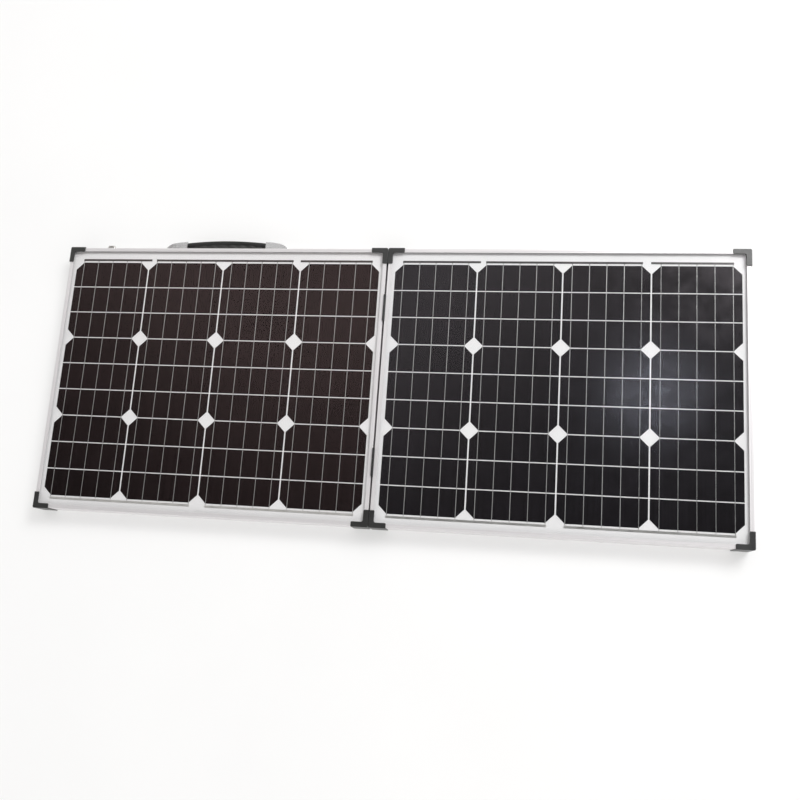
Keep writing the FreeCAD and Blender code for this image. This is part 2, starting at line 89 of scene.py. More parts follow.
# ------------------------------------------------------------------ node helpers
class Mat:
    def __init__(self, name):
        self.m = bpy.data.materials.new(name)
        self.m.use_nodes = True
        self.t = self.m.node_tree
        self.t.nodes.clear()
        self.out = self.t.nodes.new("ShaderNodeOutputMaterial")
        self.co = self.t.nodes.new("ShaderNodeTexCoord").outputs["Object"]

    def n(self, kind, **kw):
        nd = self.t.nodes.new(kind)
        for k, v in kw.items():
            if hasattr(nd, k):
                setattr(nd, k, v)
        return nd

    def link(self, a, b):
        self.t.links.new(a, b)

    def put(self, sock, v):
        if isinstance(v, bpy.types.NodeSocket):
            self.link(v, sock)
        else:
            sock.default_value = v

    def scaled(self, s, src=None):
        mp = self.n("ShaderNodeMapping")
        self.link(src or self.co, mp.inputs["Vector"])
        mp.inputs["Scale"].default_value = s if isinstance(s, (tuple, list)) else (s, s, s)
        return mp.outputs["Vector"]

    def noise(self, scale, detail=3.0, rough=0.55, dist=0.0, src=None):
        nd = self.n("ShaderNodeTexNoise")
        self.link(self.scaled(scale, src), nd.inputs["Vector"])
        nd.inputs["Scale"].default_value = 1.0
        nd.inputs["Detail"].default_value = detail
        nd.inputs["Roughness"].default_value = rough
        nd.inputs["Distortion"].default_value = dist
        return nd.outputs["Fac"]

    def voronoi(self, scale, feature="F1", out="Distance"):
        nd = self.n("ShaderNodeTexVoronoi", feature=feature)
        self.link(self.scaled(scale), nd.inputs["Vector"])
        nd.inputs["Scale"].default_value = 1.0
        return nd.outputs[out]

    def math(self, op, a, b=0.0, c=0.0, clamp=False):
        nd = self.n("ShaderNodeMath", operation=op)
        nd.use_clamp = clamp
        self.put(nd.inputs[0], a)
        self.put(nd.inputs[1], b)
        self.put(nd.inputs[2], c)
        return nd.outputs[0]

    def rng(self, v, a, b, c, d, smooth=False):
        nd = self.n("ShaderNodeMapRange")
        if smooth:
            nd.interpolation_type = "SMOOTHSTEP"
        self.put(nd.inputs["Value"], v)
        for k, x in zip(("From Min", "From Max", "To Min", "To Max"), (a, b, c, d)):
            self.put(nd.inputs[k], x)
        return nd.outputs["Result"]

    def mix(self, f, a, b):
        nd = self.n("ShaderNodeMix", data_type="RGBA")
        self.put(nd.inputs["Factor"], f)
        self.put(nd.inputs[6], a if isinstance(a, bpy.types.NodeSocket) else (*a, 1.0))
        self.put(nd.inputs[7], b if isinstance(b, bpy.types.NodeSocket) else (*b, 1.0))
        return nd.outputs[2]

    def bump(self, h, dist, strength=1.0, normal=None):
        nd = self.n("ShaderNodeBump")
        self.put(nd.inputs["Height"], h)
        nd.inputs["Distance"].default_value = dist
        nd.inputs["Strength"].default_value = strength
        if normal is not None:
            self.link(normal, nd.inputs["Normal"])
        return nd.outputs["Normal"]

    def axis(self, i):
        nd = self.n("ShaderNodeSeparateXYZ")
        self.link(self.co, nd.inputs[0])
        return nd.outputs[i]

    def principled(self, color, rough, metal=0.0, normal=None, spec=0.5, **kw):
        p = self.n("ShaderNodeBsdfPrincipled")
        self.put(p.inputs["Base Color"], color if isinstance(color, bpy.types.NodeSocket) else (*color, 1.0))
        self.put(p.inputs["Roughness"], rough)
        self.put(p.inputs["Metallic"], metal)
        p.inputs["Specular IOR Level"].default_value = spec
        for k, v in kw.items():
            p.inputs[k].default_value = v
        if normal is not None:
            self.link(normal, p.inputs["Normal"])
        self.p = p
        self.link(p.outputs[0], self.out.inputs[0])
        return self.m


def plastic(name, color, rough=0.5, grain=1400, depth=0.00006, var=0.25, spec=0.45, scuff=0.08):
    k = Mat(name)
    big = k.noise(22, 4)
    fine = k.noise(grain, 2)
    lo = tuple(c * (1 - var) for c in color)
    hi = tuple(min(1, c * (1 + var) + 0.004) for c in color)
    col = k.mix(k.rng(big, 0.3, 0.7, 0, 1), lo, hi)
    sc = k.noise((60, 900, 60), 5, 0.7, 0.6)
    scm = k.rng(sc, 0.62, 0.72, 0.0, 1.0)
    col = k.mix(k.math("MULTIPLY", scm, scuff), col, tuple(min(1, c * 2 + 0.05) for c in color))
    r = k.rng(fine, 0.3, 0.7, rough - 0.07, rough + 0.09)
    r = k.math("ADD", r, k.rng(big, 0.3, 0.7, -0.05, 0.05))
    nrm = k.bump(fine, depth)
    nrm = k.bump(scm, 0.00003, 0.5, nrm)
    return k.principled(col, r, 0.0, nrm, spec)


def metal(name, color, rough=0.35, stretch=(6, 1500, 1500), depth=0.00003, var=0.06, metallic=1.0, blot=18):
    k = Mat(name)
    lines = k.noise(stretch, 4, 0.6)
    big = k.noise(blot, 4, 0.6)
    lo = tuple(c * (1 - var) for c in color)
    hi = tuple(min(1, c * (1 + var)) for c in color)
    f = k.math("ADD", k.math("MULTIPLY", k.rng(lines, 0.3, 0.7, 0, 1), 0.5), k.math("MULTIPLY", k.rng(big, 0.3, 0.7, 0, 1), 0.5))
    col = k.mix(f, lo, hi)
    r = k.math("ADD", k.rng(lines, 0.3, 0.7, rough - 0.06, rough + 0.06), k.rng(big, 0.3, 0.7, -0.04, 0.05))
    return k.principled(col, r, metallic, k.bump(lines, depth))


def anodised(name, along):
    """Satin anodised extrusion: die lines along its length, fine blasted grain, faint handling marks."""
    k = Mat(name)
    st = (3, 1100, 1100) if along == "x" else (1100, 3, 1100)
    lines = k.noise(st, 4, 0.65)
    grain = k.noise(2600, 2)
    big = k.noise(7, 5, 0.6)
    hand = k.noise((130, 130, 130), 6, 0.75, 1.2)
    col = k.mix(k.rng(lines, 0.3, 0.7, 0, 1), (0.72, 0.70, 0.708), (0.88, 0.858, 0.865))
    col = k.mix(k.rng(big, 0.35, 0.75, 0.0, 0.35), col, (0.75, 0.73, 0.735))
    marks = k.rng(hand, 0.66, 0.8, 0.0, 0.3)
    col = k.mix(marks, col, (0.62, 0.61, 0.60))
    r = k.math("ADD", k.rng(lines, 0.3, 0.7, 0.36, 0.5), k.rng(big, 0.3, 0.7, -0.04, 0.06))
    r = k.math("ADD", r, k.math("MULTIPLY", marks, 0.2))
    nrm = k.bump(lines, 0.00004, 0.6)
    nrm = k.bump(grain, 0.00003, 0.6, nrm)
    return k.principled(col, r, 0.35, nrm, 0.5)


def cell_material(name, tint_a, tint_b, x0, y0):
    """Alkaline-textured mono silicon with a dark nitride coat: fine printed fingers, drawn streaks, strip-to-strip shade."""
    k = Mat(name)
    sx, sy = k.axis(0), k.axis(1)
    col_i = k.math("FLOOR", k.math("DIVIDE", k.math("SUBTRACT", sx, x0), 0.1587))
    row_i = k.math("FLOOR", k.math("DIVIDE", k.math("SUBTRACT", y0, sy), 0.054))
    comb = k.n("ShaderNodeCombineXYZ")
    k.link(col_i, comb.inputs[0])
    k.link(row_i, comb.inputs[1])
    wn = k.n("ShaderNodeTexWhiteNoise", noise_dimensions="3D")
    k.link(comb.outputs[0], wn.inputs["Vector"])
    shade = wn.outputs["Value"]
    col = k.mix(shade, tint_a, tint_b)
    streak = k.noise((300, 3.0, 1), 4, 0.7)
    cloud = k.noise((9, 14, 1), 4, 0.6)
    col = k.mix(k.rng(streak, 0.35, 0.75, 0.0, 0.65), col, tuple(c * 2.8 + 0.003 for c in tint_b))
    col = k.mix(k.rng(cloud, 0.4, 0.7, 0.0, 0.35), col, tuple(c * 0.55 for c in tint_a))
    # printed fingers, across the strip's width
    ph = k.math("FRACT", k.math("DIVIDE", sy, 0.0016))
    d = k.math("ABSOLUTE", k.math("SUBTRACT", ph, 0.5))
    finger = k.rng(d, 0.03, 0.055, 1.0, 0.0, True)
    col = k.mix(k.math("MULTIPLY", finger, 0.45), col, (0.065, 0.064, 0.067))
    grain = k.noise(5200, 2)
    r = k.rng(streak, 0.3, 0.7, 0.34, 0.5)
    nrm = k.bump(grain, 0.00002, 0.5)
    nrm = k.bump(finger, 0.00002, 0.6, nrm)
    return k.principled(col, r, 0.0, nrm, 0.05)


def glass_material(name, tint):
    """Low-iron tempered glass with a fine rolled texture; its reflections carry a painted tint that stands in for the
    room's coloured light.
    """
    k = Mat(name)
    fine = k.noise(900, 3, 0.6)
    roll = k.noise(160, 3, 0.5)
    dust = k.noise(34, 5, 0.65)
    h = k.math("ADD", k.math("MULTIPLY", fine, 0.55), k.math("MULTIPLY", roll, 0.45))
    nrm = k.bump(h, 0.00003, 1.0)
    fr = k.n("ShaderNodeFresnel")
    fr.inputs["IOR"].default_value = 1.46
    k.link(nrm, fr.inputs["Normal"])
    tr = k.n("ShaderNodeBsdfTransparent")
    tr.inputs["Color"].default_value = (0.985, 0.992, 0.99, 1)
    gl = k.n("ShaderNodeBsdfGlossy")
    # the painted reflection tint shows face on and fades to plain at a slant
    lw = k.n("ShaderNodeLayerWeight")
    lw.inputs["Blend"].default_value = 0.5
    k.link(k.mix(k.rng(lw.outputs["Facing"], 0.16, 0.42, 0, 1, True), tint, (1, 1, 1)), gl.inputs["Color"])
    k.put(gl.inputs["Roughness"], k.rng(dust, 0.3, 0.75, 0.10, 0.22))
    k.link(nrm, gl.inputs["Normal"])
    mx = k.n("ShaderNodeMixShader")
    geo = k.n("ShaderNodeNewGeometry")
    k.link(k.math("MULTIPLY", fr.outputs[0], k.math("SUBTRACT", 1.0, geo.outputs["Backfacing"])), mx.inputs[0])
    k.link(tr.outputs[0], mx.inputs[1])
    k.link(gl.outputs[0], mx.inputs[2])
    k.link(mx.outputs[0], k.out.inputs[0])
    return k.m


def backsheet_material():
    k = Mat("white_film")
    sx, sy = k.axis(0), k.axis(1)
    big = k.noise(6, 4)
    mott = k.noise(420, 3)
    wav = k.noise((24, 70, 24), 3)
    col = k.mix(k.rng(big, 0.3, 0.7, 0, 1), (0.885, 0.86, 0.87), (0.93, 0.905, 0.915))
    col = k.mix(k.rng(mott, 0.5, 0.8, 0, 0.12), col, (0.72, 0.73, 0.74))
    nrm = k.bump(wav, 0.00025, 0.5)
    nrm = k.bump(mott, 0.00003, 0.5, nrm)
    return k.principled(col, k.rng(big, 0.3, 0.7, 0.38, 0.5), 0.0, nrm, 0.4)


def ribbon_material():
    """Tinned copper ribbon. The cross ribbons in the margins are coloured apart: very dark along the top and light
    along the bottom.
    """
    k = Mat("tinned_ribbon")
    lines = k.noise((1800, 12, 1800), 4, 0.6)
    big = k.noise(60, 4, 0.6)
    y = k.axis(1)
    col = k.mix(k.rng(lines, 0.3, 0.7, 0, 1), (0.40, 0.395, 0.39), (0.54, 0.535, 0.53))
    col = k.mix(k.rng(big, 0.4, 0.7, 0, 0.3), col, (0.32, 0.315, 0.31))
    # the top cross ribbon is set very dark and the bottom one light, by position alone
    top_ribbon_dark = k.mix(k.rng(big, 0.3, 0.7, 0, 1), (0.045, 0.043, 0.043), (0.08, 0.076, 0.074))
    bottom_ribbon_light = k.mix(k.rng(big, 0.3, 0.7, 0, 1), (0.66, 0.64, 0.62), (0.80, 0.78, 0.76))
    col = k.mix(k.rng(y, 0.2325, 0.2330, 0, 1), col, top_ribbon_dark)
    col = k.mix(k.rng(y, -0.2550, -0.2556, 0, 1), col, bottom_ribbon_light)
    r = k.math("ADD", k.rng(lines, 0.3, 0.7, 0.28, 0.4), k.rng(big, 0.3, 0.7, -0.04, 0.06))
    return k.principled(col, r, 0.6, k.bump(lines, 0.00002))


MATS = {
    "anod_x": anodised("anodised_long", "x"),
    "anod_y": anodised("anodised_side", "y"),
    "key": metal("mill_aluminium", (0.62, 0.62, 0.63), 0.45, (1500, 8, 1500)),
    "guard": plastic("guard_grain", (0.015, 0.015, 0.0147), 0.36, 1500, 0.00007, 0.3, 0.75, 0.12),
    # the two glass copies differ only in a painted reflection tint: warm on the left panel, violet on the right
    "glass_l": glass_material("textured_glass_warm_painted_reflection", (1.0, 0.70, 0.69)),
    "glass_r": glass_material("textured_glass_cool_painted_reflection", (1.0, 0.90, 0.97)),
    "back": backsheet_material(),
    "seal": plastic("foam_tape", (0.28, 0.28, 0.285), 0.85, 900, 0.0002, 0.12, 0.2, 0.0),
    "ribbon": ribbon_material(),
    "jbox": plastic("junction_moulding", (0.018, 0.018, 0.019), 0.42, 1100, 0.00007, 0.3, 0.5, 0.06),
    "gland": plastic("gland_nylon", (0.03, 0.03, 0.031), 0.38, 900, 0.00004, 0.2, 0.5, 0.04),
    "diode": plastic("diode_epoxy", (0.03, 0.03, 0.03), 0.4, 800, 0.00003, 0.2, 0.5, 0.0),
    "hinge": metal("blackened_hinge", (0.035, 0.035, 0.036), 0.42, (900, 40, 900), 0.00004, 0.25, 0.6, 90),
    "rivet": metal("rivet_alloy", (0.70, 0.70, 0.71), 0.35, (700, 700, 700), 0.00003, 0.08),
    "bolt": metal("zinc_bolt", (0.62, 0.615, 0.60), 0.30, (800, 800, 60), 0.00003, 0.12, 1.0, 150),
    "stand": metal("stand_alloy", (0.74, 0.745, 0.75), 0.38, (900, 5, 900), 0.00004, 0.06),
    "standx": metal("stand_tube", (0.74, 0.745, 0.75), 0.38, (5, 900, 900), 0.00004, 0.06),
    "cap": metal("satin_chrome", (0.60, 0.60, 0.605), 0.26, (10, 900, 900), 0.00002, 0.05, 0.9, 30),
    "grip": plastic("grip_rubber", (0.011, 0.011, 0.011), 0.42, 1700, 0.00008, 0.25, 0.5, 0.05),
    "spring": metal("spring_strip", (0.34, 0.35, 0.38), 0.3, (8, 900, 900), 0.00002, 0.12),
    "latch": metal("nickel_latch", (0.72, 0.71, 0.69), 0.24, (900, 900, 30), 0.00002, 0.06, 1.0, 120),
    "wire": metal("nickel_wire", (0.74, 0.73, 0.71), 0.2, (300, 300, 300), 0.00001, 0.05),
    "bracket": metal("bracket_alloy", (0.70, 0.70, 0.71), 0.4, (6, 1200, 1200), 0.00004, 0.06),
    "ctrl": plastic("controller_case", (0.035, 0.042, 0.055), 0.46, 1300, 0.00008, 0.2, 0.45, 0.05),
    "window": plastic("smoked_window", (0.012, 0.014, 0.014), 0.08, 400, 0.000004, 0.1, 0.6, 0.0),
    "lcd": plastic("lcd_glass", (0.20, 0.235, 0.19), 0.16, 600, 0.000006, 0.08, 0.6, 0.0),
    "lcdseg": plastic("lcd_segment", (0.035, 0.04, 0.035), 0.3, 600, 0.00001, 0.1, 0.4, 0.0),
    "pcb": plastic("solder_resist", (0.02, 0.16, 0.06), 0.32, 700, 0.00003, 0.2, 0.5, 0.0),
    "term": plastic("terminal_nylon", (0.03, 0.27, 0.085), 0.42, 1100, 0.00005, 0.15, 0.45, 0.05),
    "key_rubber": plastic("silicone_key", (0.30, 0.31, 0.33), 0.6, 1500, 0.00005, 0.1, 0.35, 0.04),
    "icon": plastic("printed_mark", (0.62, 0.63, 0.64), 0.55, 900, 0.00001, 0.06, 0.3, 0.0),
    "led": plastic("led_lens", (0.32, 0.03, 0.02), 0.15, 400, 0.00001, 0.1, 0.7, 0.0),
    "led2": plastic("led_lens_green", (0.03, 0.25, 0.04), 0.15, 400, 0.00001, 0.1, 0.7, 0.0),
}
lo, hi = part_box("left_solar_cells")
MATS["cell_l"] = cell_material("silicon_warm", (0.0018, 0.0007, 0.0007), (0.0050, 0.0024, 0.0027), lo.x - 0.00135, hi.y + 0.001)
lo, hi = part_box("right_solar_cells")
MATS["cell_r"] = cell_material("silicon_cool", (0.0014, 0.0010, 0.0014), (0.0042, 0.0032, 0.0046), lo.x - 0.00135, hi.y + 0.001)


def dress(node, key):
    me = NODES[node].data
    me.materials.clear()
    me.materials.append(MATS[key])


# ------------------------------------------------------------------ mesh helpers
def finish_mesh(o, width=None, segments=2, angle=38):
    """Bevels sharp edges, weights the normals and keeps one plain mesh."""
    if width:
        b = o.modifiers.new("b", "BEVEL")
        b.width = width
        b.segments = segments
        b.limit_method = "ANGLE"
        b.angle_limit = math.radians(angle)
        b.use_clamp_overlap = True
        b.miter_outer = "MITER_ARC"
    w = o.modifiers.new("w", "WEIGHTED_NORMAL")
    w.keep_sharp = True
    w.weight = 60
    dg = bpy.context.evaluated_depsgraph_get()
    me = bpy.data.meshes.new_from_object(o.evaluated_get(dg))
    o.modifiers.clear()
    o.data = me
    return o


def obj_from(bm, name, key, smooth=True, sharp=40):
    me = bpy.data.meshes.new(name)
    bmesh.ops.recalc_face_normals(bm, faces=bm.faces)
    bm.to_mesh(me)
    bm.free()
    o = bpy.data.objects.new(name, me)
    SCENE.collection.objects.link(o)
    me.materials.append(MATS[key])
    if smooth:
        me.polygons.foreach_set("use_smooth", [True] * len(me.polygons))
        me.set_sharp_from_angle(angle=math.radians(sharp))
    return o


def refine(node, key, width, segments=2, body=None):
    """A softer-edged copy of a CAD piece that stands for it."""
    src = NODES[node]
    bm = bmesh.new()
    bm.from_mesh(src.data)
    bmesh.ops.remove_doubles(bm, verts=bm.verts, dist=2e-6)
    bmesh.ops.dissolve_limit(bm, angle_limit=math.radians(0.6), verts=bm.verts, edges=bm.edges)
    o = obj_from(bm, node + "_soft", key)
    finish_mesh(o, width, segments)
    o.data.materials.clear()
    o.data.materials.append(MATS[key])
    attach(o, src["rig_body"])
    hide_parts(node)
    return o


def prism(name, pts, plane, d0, d1, key, body, bevel=None, segments=2, smooth=True):
    """Outline pts in a plane ('xy', 'xz' or 'yz') pulled from d0 to d1 along the third axis."""
    bm = bmesh.new()

    def at(p, d):
        return {"xy": (p[0], p[1], d), "xz": (p[0], d, p[1]), "yz": (d, p[0], p[1])}[plane]
    a = [bm.verts.new(at(p, d0)) for p in pts]
    b = [bm.verts.new(at(p, d1)) for p in pts]
    bm.faces.new(a)
    bm.faces.new(b)
    n = len(pts)
    for i in range(n):
        bm.faces.new((a[i], a[(i + 1) % n], b[(i + 1) % n], b[i]))
    o = obj_from(bm, name, key, smooth)
    if bevel:
        finish_mesh(o, bevel, segments)
    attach(o, body)
    return o


def ring(cx, cy, r, n=32, a0=0.0):
    return [(cx + r * math.cos(a0 + 2 * math.pi * i / n), cy + r * math.sin(a0 + 2 * math.pi * i / n)) for i in range(n)]


def rrect(x0, x1, y0, y1, r, n=5):
    pts = []
    for cx, cy, a in ((x1 - r, y1 - r, 0), (x0 + r, y1 - r, 90), (x0 + r, y0 + r, 180), (x1 - r, y0 + r, 270)):
        for i in range(n + 1):
            t = math.radians(a + 90 * i / n)
            pts.append((cx + r * math.cos(t), cy + r * math.sin(t)))
    return pts


def tube(name, path, r, key, body, closed=False, sides=16):
    """Round bar along a list of points."""
    P = [Vector(p) for p in path]
    n = len(P)
    bm = bmesh.new()
    rings = []
    up = None
    for i in range(n):
        a = P[(i - 1) % n] if (closed or i > 0) else P[i]
        b = P[(i + 1) % n] if (closed or i < n - 1) else P[i]
        t = (b - a).normalized()
        if up is None:
            up = t.orthogonal().normalized()
        up = (up - t * up.dot(t)).normalized()
        w = t.cross(up)
        rings.append([bm.verts.new(P[i] + (up * math.cos(2 * math.pi * k / sides) + w * math.sin(2 * math.pi * k / sides)) * r) for k in range(sides)])
    m = n if closed else n - 1
    for i in range(m):
        A, B = rings[i], rings[(i + 1) % n]
        off = 0
        if closed and i == n - 1:
            off = min(range(sides), key=lambda s: (A[0].co - B[s].co).length)
        for k in range(sides):
            bm.faces.new((A[k], A[(k + 1) % sides], B[(k + 1 + off) % sides], B[(k + off) % sides]))
    if not closed:
        bm.faces.new(rings[0])
        bm.faces.new(rings[-1])
    o = obj_from(bm, name, key)
    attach(o, body)
    return o


# ------------------------------------------------------------------ frame, guards, laminate
for s in ("left", "right"):
    for k, mk in (("top", "anod_x"), ("bottom", "anod_x"), ("outer", "anod_y"), ("inner", "anod_y")):
        refine("%s_%s_rail" % (s, k), mk, 0.00028, 2)
    refine(s + "_corner_guards", "guard", 0.0005, 3)
    dress(s + "_corner_keys", "key")
    dress(s + "_glass", "glass_l" if s == "left" else "glass_r")
    dress(s + "_solar_cells", "cell_l" if s == "left" else "cell_r")
    dress(s + "_ribbons", "ribbon")
    dress(s + "_backsheet", "back")
    dress(s + "_edge_seal", "seal")
    dress(s + "_bypass_diodes", "diode")
    refine(s + "_junction_box", "jbox", 0.0005)
    refine(s + "_junction_lid", "jbox", 0.0004)
    refine(s + "_hinge_leaves", "hinge", 0.00015)
    dress(s + "_rivets", "rivet")
    refine(s + "_stand_pivots", "bolt", 0.0004)
    refine(s + "_stand_legs", "stand", 0.0005)
    dress(s + "_stand_crossbar", "standx")
    dress(s + "_cable_glands", "gland")
dress("hinge_pins", "bolt")
refine("handle_end_caps", "cap", 0.0006, 3)
refine("handle_screws", "bolt", 0.0002)
refine("latch_base", "latch", 0.00018)
dress("latch_pivot_pin", "latch")
refine("latch_lever", "latch", 0.0002)
refine("latch_catch", "latch", 0.0002)
refine("controller_bracket", "bracket", 0.0003)
refine("controller_housing", "ctrl", 0.0006)
refine("controller_cover", "ctrl", 0.0004)
dress("controller_window", "window")
dress("controller_circuit_board", "pcb")
refine("controller_terminals", "term", 0.0003)
refine("controller_screws", "bolt", 0.00025)
refine("controller_button_left", "key_rubber", 0.0006, 4)
refine("controller_button_right", "key_rubber", 0.0006, 4)

# ------------------------------------------------------------------ latch loop as one bent wire
lo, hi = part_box("latch_loop")
wr = 0.0008
x0, x1, z0, z1, yy = lo.x + wr, hi.x - wr, lo.z + wr, hi.z - wr, (lo.y + hi.y) / 2
path = []
for px, pz, a in ((x1, z1, 0), (x0, z1, 90), (x0, z0, 180), (x1, z0, 270)):
    rr = 0.0018
    cx_, cz_ = px - math.copysign(rr, math.cos(math.radians(a + 45))), pz - math.copysign(rr, math.sin(math.radians(a + 45)))
    for i in range(7):
        t = math.radians(a + 15 * i)
        path.append((cx_ + rr * math.cos(t), yy, cz_ + rr * math.sin(t)))
o = tube("latch_wire_loop", path, wr, "wire", "latch_loop", closed=True, sides=14)
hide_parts("latch_loop")

# ------------------------------------------------------------------ carrying grip and its steel strip
lo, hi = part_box("handle_grip")
hx = (lo.x + hi.x) / 2
half = (hi.x - lo.x) / 2
zc = (lo.z + hi.z) / 2
wz = (hi.z - lo.z) / 2
rail_lo, rail_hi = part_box("left_top_rail")
face = rail_hi.y


def arc_y(a, end, mid):
    """Height above the rail of a shallow arc through its two ends and middle."""
    s = mid - end
    R = (half * half + s * s) / (2 * s)
    return mid - R + math.sqrt(max(R * R - a * a, 0))


def grip_half(sign, name):
    bm = bmesh.new()
    n, m = 150, 48
    rings = []
    for i in range(n + 1):
        a = half * (1 - i / n)
        lo_y = arc_y(a, 0.0065, 0.0105)
        hi_y = arc_y(a, 0.0152, 0.0200)
        yc, hy = (lo_y + hi_y) / 2, (hi_y - lo_y) / 2
        edge = min(1.0, (half - a) / 0.004)
        nar = 0.90 + 0.10 * math.sqrt(max(0.0, 1 - (1 - edge) ** 2))
        row = []
        for k in range(m):
            t = 2 * math.pi * k / m
            c, s_ = math.cos(t), math.sin(t)
            p = 0.42
            z = wz * nar * math.copysign(abs(c) ** p, c)
            y = hy * nar * math.copysign(abs(s_) ** p, s_)
            # cross ribs along the top, set in from the ends; finger scallops underneath
            inside = min(1.0, max(0.0, (half - 0.010 - a) / 0.006))
            if s_ > 0:
                flat = max(0.0, 1 - (abs(z) / (wz * 0.74)) ** 6)
                y -= 0.0007 * flat * inside * (0.5 - 0.5 * math.cos(2 * math.pi * a / 0.0042))
                y -= 0.0004 * math.exp(-((abs(z) - wz * 0.84) / 0.0006) ** 2) * inside
            else:
                y += 0.0011 * inside * (0.5 - 0.5 * math.cos(2 * math.pi * (a - 0.0) / 0.0205)) * (1 - 0.35 * (abs(z) / wz) ** 2)
            row.append(bm.verts.new((hx + sign * a, face + yc + y, zc + z)))
        rings.append(row)
    for i in range(n):
        for k in range(m):
            bm.faces.new((rings[i][k], rings[i][(k + 1) % m], rings[i + 1][(k + 1) % m], rings[i + 1][k]))
    bm.faces.new(rings[0])
    bm.faces.new(rings[-1])
    o = obj_from(bm, name, "grip", sharp=50)
    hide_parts("handle_grip")
    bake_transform(o)
    return o


grip_half(-1, "grip_sleeve_outer_half")
grip_half(1, "grip_sleeve_inner_half")


def strip_half(sign, name):
    bm = bmesh.new()
    tail = 0.100
    st = [tail, tail - 0.006, half + 0.004, half] + [half * (1 - i / 40) for i in range(1, 41)]
    rows_ = []
    for a in st:
        b = min(a, half)
        y0_, y1_ = arc_y(b, 0.0105, 0.0145), arc_y(b, 0.0115, 0.0155)
        w = 0.008 if a < tail else 0.0072
        rows_.append([bm.verts.new((hx + sign * a, face + y, zc + z)) for y, z in ((y0_, -w), (y1_, -w), (y1_, w), (y0_, w))])
    for A, B in zip(rows_, rows_[1:]):
        for k in range(4):
            bm.faces.new((A[k], A[(k + 1) % 4], B[(k + 1) % 4], B[k]))
    bm.faces.new(rows_[0])
    bm.faces.new(rows_[-1])
    o = obj_from(bm, name, "spring")
    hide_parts("handle_steel_strip")
    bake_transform(o)
    return o


strip_half(-1, "steel_strip_outer_half")
strip_half(1, "steel_strip_inner_half")

# ------------------------------------------------------------------ junction box detail
for s in ("left", "right"):
    body = s + "_panel"
    lo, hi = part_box(s + "_junction_lid")
    for i in range(5):
        x = lo.x + (hi.x - lo.x) * (0.26 + 0.12 * i)
        prism("%s_lid_rib_%d" % (s, i), rrect(x - 0.0008, x + 0.0008, lo.y + 0.012, hi.y - 0.012, 0.0007), "xy", lo.z - 0.0009, lo.z + 0.0002, "jbox", body, 0.0003)
    for i, (fx, fy) in enumerate(((0.08, 0.1), (0.92, 0.1), (0.92, 0.9), (0.08, 0.9))):
        x, y = lo.x + (hi.x - lo.x) * fx, lo.y + (hi.y - lo.y) * fy
        prism("%s_lid_screw_%d" % (s, i), ring(x, y, 0.0026, 28), "xy", lo.z - 0.0007, lo.z + 0.0003, "bolt", body, 0.0004)
    lo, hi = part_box(s + "_cable_glands")
    zg = (lo.z + hi.z) / 2
    for i, gx in enumerate((lo.x + 0.006, hi.x - 0.006)):
        for j, (ya, yb, r) in enumerate(((lo.y + 0.0062, lo.y + 0.0102, 0.0069),)):
            bm = bmesh.new()
            outer = ring(gx, zg, r, 6, math.radians(30))
            inner = ring(gx, zg, 0.00602, 48)
            # hexagonal nut round the gland's barrel
            A = [[bm.verts.new((p[0], y, p[1])) for p in ring(gx, zg, 1.0, 48)] for y in (ya, yb)]
            for row, y in zip(A, (ya, yb)):
                for q, v in enumerate(row):
                    t = 2 * math.pi * q / 48
                    sec = (t - math.radians(30)) % (math.pi / 3) - math.pi / 6
                    rad = r * math.cos(math.pi / 6) / math.cos(sec)
                    v.co = (gx + rad * math.cos(t), y, zg + rad * math.sin(t))
            B = [[bm.verts.new((p[0], y, p[1])) for p in inner] for y in (ya, yb)]
            for q in range(48):
                w = (q + 1) % 48
                bm.faces.new((A[0][q], A[0][w], A[1][w], A[1][q]))
                bm.faces.new((B[0][q], B[0][w], B[1][w], B[1][q]))
                bm.faces.new((A[0][q], A[0][w], B[0][w], B[0][q]))
                bm.faces.new((A[1][q], A[1][w], B[1][w], B[1][q]))
            o = obj_from(bm, "%s_gland_nut_%d" % (s, i), "gland", sharp=20)
            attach(o, body)

# ------------------------------------------------------------------ controller face
lo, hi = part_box("controller_window")
zf = lo.z
b = "left_panel"
o = prism("controller_display_pane", rrect(lo.x + 0.0001, hi.x - 0.0001, lo.y + 0.0001, hi.y - 0.0001, 0.001), "xy", zf, hi.z, "window", b, 0.0003)
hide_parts("controller_window")
prism("controller_lcd", rrect(lo.x + 0.006, hi.x - 0.006, lo.y + 0.006, hi.y - 0.005, 0.0008), "xy", zf - 0.00012, zf + 0.0004, "lcd", b, 0.0001)
segs = {"a": (0, 2, 1), "b": (1, 1.5, 0), "c": (1, 0.5, 0), "d": (0, 0, 1), "e": (-1, 0.5, 0), "f": (-1, 1.5, 0), "g": (0, 1, 1)}
# seen from behind the panel, +X runs to the left, so the figures are mirrored in X
for di, (cx_, on) in enumerate(((0.0120, "bc"), (0.0, "abgcd"), (-0.0120, "afedcg"))):
    for q in "abcdefg":
        if q not in on:
            continue
        sx, sy, hor = segs[q]
        w, h = 0.0030, 0.0046
        x = (lo.x + hi.x) / 2 + cx_ - sx * w
        y = (lo.y + hi.y) / 2 - h + sy * h
        if hor:
            pts = [(x - w * 0.78, y), (x - w * 0.6, y + 0.0005), (x + w * 0.6, y + 0.0005), (x + w * 0.78, y), (x + w * 0.6, y - 0.0005), (x - w * 0.6, y - 0.0005)]
        else:
            pts = [(x, y - h * 0.40), (x + 0.0005, y - h * 0.3), (x + 0.0005, y + h * 0.3), (x, y + h * 0.40), (x - 0.0005, y + h * 0.3), (x - 0.0005, y - h * 0.3)]
        prism("lcd_segment_%d%s" % (di, q), pts, "xy", zf - 0.00018, zf - 0.00002, "lcdseg", b, smooth=False)
lo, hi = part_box("controller_cover")
for i, (dx, key) in enumerate(((-0.046, "led"), (-0.046, "led2"))):
    prism("controller_led_%d" % i, ring((lo.x + hi.x) / 2 + dx, hi.y - 0.018 - 0.012 * i, 0.0017, 24), "xy", lo.z - 0.0007, lo.z + 0.0008, key, b, 0.0006, 3)
tl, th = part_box("controller_terminals")
